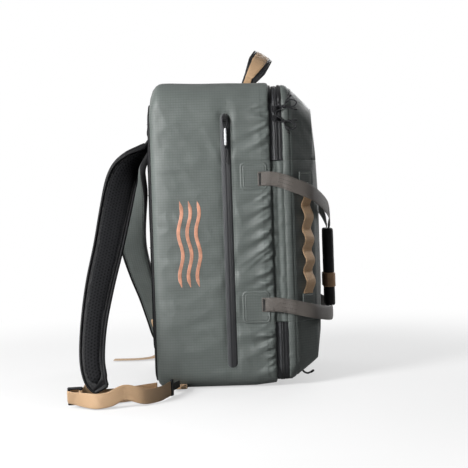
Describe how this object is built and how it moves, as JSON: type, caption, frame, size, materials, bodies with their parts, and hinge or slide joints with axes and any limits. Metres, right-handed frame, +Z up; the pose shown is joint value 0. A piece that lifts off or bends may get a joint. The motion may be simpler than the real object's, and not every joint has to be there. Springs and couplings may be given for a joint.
{
  "type": "tackle backpack",
  "caption": "Boxy fishing tackle backpack: ripstop body with fold-down zipped front lids, side zip pockets, duffel handles, grab handle and padded shoulder straps.",
  "frame": {"origin": "on the ground at the centre of the base, on the middle plane between the two side walls", "axes": "+Z up, -Y towards the front lids, +Y towards the back panel and shoulder straps, -X to the wearer's left side"},
  "size_m": [0.5901, 0.4649, 0.6112],
  "materials": {
    "ripstop": "coated ripstop, low sheen",
    "gusset": "plain weave, low sheen",
    "zip_tape": "satin film",
    "rubber_guard": "matte",
    "foam": "closed-cell foam",
    "lining": "plain weave",
    "board": "matte",
    "mesh_black": "air mesh",
    "webbing_black": "woven",
    "webbing_tan": "woven",
    "webbing_taupe": "woven",
    "grip_foam": "matte",
    "wrap_tan": "smooth",
    "cord_black": "braided",
    "slider_metal": "black",
    "buckle_black": "fine texture"
  },
  "bodies": {
    "pack": {"body_shell": "ripstop", "front_middle_panel": "ripstop", "front_middle_foam": "foam", "gusset_strips": "gusset", "upper_zip_tape_body": "zip_tape", "lower_zip_tape_body": "zip_tape", "zip_garage": "rubber_guard", "side_zip_tapes": "zip_tape", "pocket_bags": "lining", "side_foam_boards": "foam", "frame_sheet": "board", "base_board": "board", "inner_lining": "lining", "compartment_shelf": "foam", "back_panel": "mesh_black", "back_pads": "mesh_black", "strap_yoke": "webbing_black", "handle_anchor_patches": "ripstop", "handle_webbing_ends": "webbing_taupe", "daisy_chains": "webbing_tan", "daisy_chain_tabs": "ripstop", "grab_handle_ends": "webbing_black", "lower_anchor_loops": "webbing_tan"},
    "upper_lid": {"upper_lid_cover": "ripstop", "upper_lid_foam": "foam", "upper_zip_tape_lid": "zip_tape"},
    "lower_lid": {"lower_lid_cover": "ripstop", "lower_lid_foam": "foam", "lower_zip_tape_lid": "zip_tape", "lower_lid_loop": "cord_black"},
    "upper_slider_a": {"upper_slider_a": "slider_metal"},
    "upper_pull_a": {"upper_pull_a": "cord_black"},
    "upper_slider_b": {"upper_slider_b": "slider_metal"},
    "upper_pull_b": {"upper_pull_b": "cord_black"},
    "lower_slider": {"lower_slider": "slider_metal"},
    "lower_pull": {"lower_pull": "cord_black"},
    "side_slider_left": {"side_slider_left": "slider_metal"},
    "side_pull_left": {"side_pull_left": "cord_black"},
    "side_slider_right": {"side_slider_right": "slider_metal"},
    "side_pull_right": {"side_pull_right": "cord_black"},
    "handle_left": {"handle_webbing_left": "webbing_taupe", "handle_grip_left": "grip_foam", "grip_wrap_left": "wrap_tan"},
    "handle_right": {"handle_webbing_right": "webbing_taupe", "handle_grip_right": "grip_foam", "grip_wrap_right": "wrap_tan"},
    "grab_handle": {"grab_webbing_black": "webbing_black", "grab_webbing_tan": "webbing_tan"},
    "strap_left": {"strap_cover_left": "ripstop", "strap_foam_left": "foam", "strap_mesh_left": "mesh_black"},
    "strap_right": {"strap_cover_right": "ripstop", "strap_foam_right": "foam", "strap_mesh_right": "mesh_black"},
    "lock_left": {"ladder_lock_left": "buckle_black"},
    "lock_right": {"ladder_lock_right": "buckle_black"},
    "web_left": {"lower_webbing_left": "webbing_tan", "strap_hook_left": "buckle_black"},
    "web_right": {"lower_webbing_right": "webbing_tan", "strap_hook_right": "buckle_black"}
  },
  "joints": [
    {"name": "upper_lid_fold", "type": "hinge", "parent": "pack", "child": "upper_lid", "pos_m": [0, -0.152, 0.398], "axis": [1, 0, 0], "range_deg": [0, 110]},
    {"name": "lower_lid_fold", "type": "hinge", "parent": "pack", "child": "lower_lid", "pos_m": [0, -0.152, 0.113], "axis": [-1, 0, 0], "range_deg": [0, 45]},
    {"name": "upper_slider_a_turn", "type": "hinge", "parent": "pack", "child": "upper_slider_a", "pos_m": [-0.12, -0.0775, 0.492], "axis": [0, 1, 0], "range_deg": [0, 90]},
    {"name": "upper_pull_a_lift", "type": "hinge", "parent": "upper_slider_a", "child": "upper_pull_a", "pos_m": [-0.1682, -0.0775, 0.489], "axis": [0, -0.2419, -0.9703], "range_deg": [0, 110]},
    {"name": "upper_slider_b_slide", "type": "slide", "parent": "pack", "child": "upper_slider_b", "axis": [0, 0, -1], "range_m": [0, 0.068]},
    {"name": "upper_pull_b_lift", "type": "hinge", "parent": "upper_slider_b", "child": "upper_pull_b", "pos_m": [-0.1682, -0.0775, 0.473], "axis": [0, 0.4067, -0.9135], "range_deg": [0, 110]},
    {"name": "lower_slider_slide", "type": "slide", "parent": "pack", "child": "lower_slider", "axis": [0, 0, -1], "range_m": [0, 0.05]},
    {"name": "lower_pull_lift", "type": "hinge", "parent": "lower_slider", "child": "lower_pull", "pos_m": [0.1682, -0.0775, 0.096], "axis": [0, -0.4067, 0.9135], "range_deg": [0, 110]},
    {"name": "side_slider_left_slide", "type": "slide", "parent": "pack", "child": "side_slider_left", "axis": [0, 0, -1], "range_m": [0, 0.39]},
    {"name": "side_pull_left_lift", "type": "hinge", "parent": "side_slider_left", "child": "side_pull_left", "pos_m": [-0.1714, 0.011, 0.474], "axis": [0, 1, 0], "range_deg": [0, 140]},
    {"name": "side_slider_right_slide", "type": "slide", "parent": "pack", "child": "side_slider_right", "axis": [0, 0, -1], "range_m": [0, 0.39]},
    {"name": "side_pull_right_lift", "type": "hinge", "parent": "side_slider_right", "child": "side_pull_right", "pos_m": [0.1714, 0.011, 0.474], "axis": [0, -1, 0], "range_deg": [0, 140]},
    {"name": "handle_left_swing", "type": "hinge", "parent": "pack", "child": "handle_left", "pos_m": [-0.1669, -0.0582, 0.256], "axis": [0, 0, -1], "range_deg": [0, 100]},
    {"name": "handle_right_swing", "type": "hinge", "parent": "pack", "child": "handle_right", "pos_m": [0.1669, -0.0582, 0.256], "axis": [0, 0, 1], "range_deg": [0, 100]},
    {"name": "grab_handle_fold", "type": "hinge", "parent": "pack", "child": "grab_handle", "pos_m": [0, -0.031, 0.5475], "axis": [1, 0, 0], "range_deg": [-95, 28]},
    {"name": "strap_left_swing", "type": "hinge", "parent": "pack", "child": "strap_left", "pos_m": [-0.069, 0.1514, 0.446], "axis": [1, 0, 0], "range_deg": [0, 85]},
    {"name": "strap_right_swing", "type": "hinge", "parent": "pack", "child": "strap_right", "pos_m": [0.069, 0.1514, 0.446], "axis": [1, 0, 0], "range_deg": [0, 85]},
    {"name": "lock_left_tilt", "type": "hinge", "parent": "strap_left", "child": "lock_left", "pos_m": [-0.29705, 0.26155, 0.0195], "axis": [-0.4191, -0.0419, 0.907], "range_deg": [-6, 6]},
    {"name": "web_left_tilt", "type": "hinge", "parent": "lock_left", "child": "web_left", "pos_m": [-0.29895, 0.28045, 0.0195], "axis": [-0.4191, -0.0419, 0.907], "range_deg": [0, 6]},
    {"name": "lock_right_tilt", "type": "hinge", "parent": "strap_right", "child": "lock_right", "pos_m": [0.2495, 0.156, 0.007], "axis": [0, 1, 0], "range_deg": [0, 40]},
    {"name": "web_right_tilt", "type": "hinge", "parent": "lock_right", "child": "web_right", "pos_m": [0.2305, 0.156, 0.007], "axis": [0, 1, 0], "range_deg": [0, 40]}
  ]
}
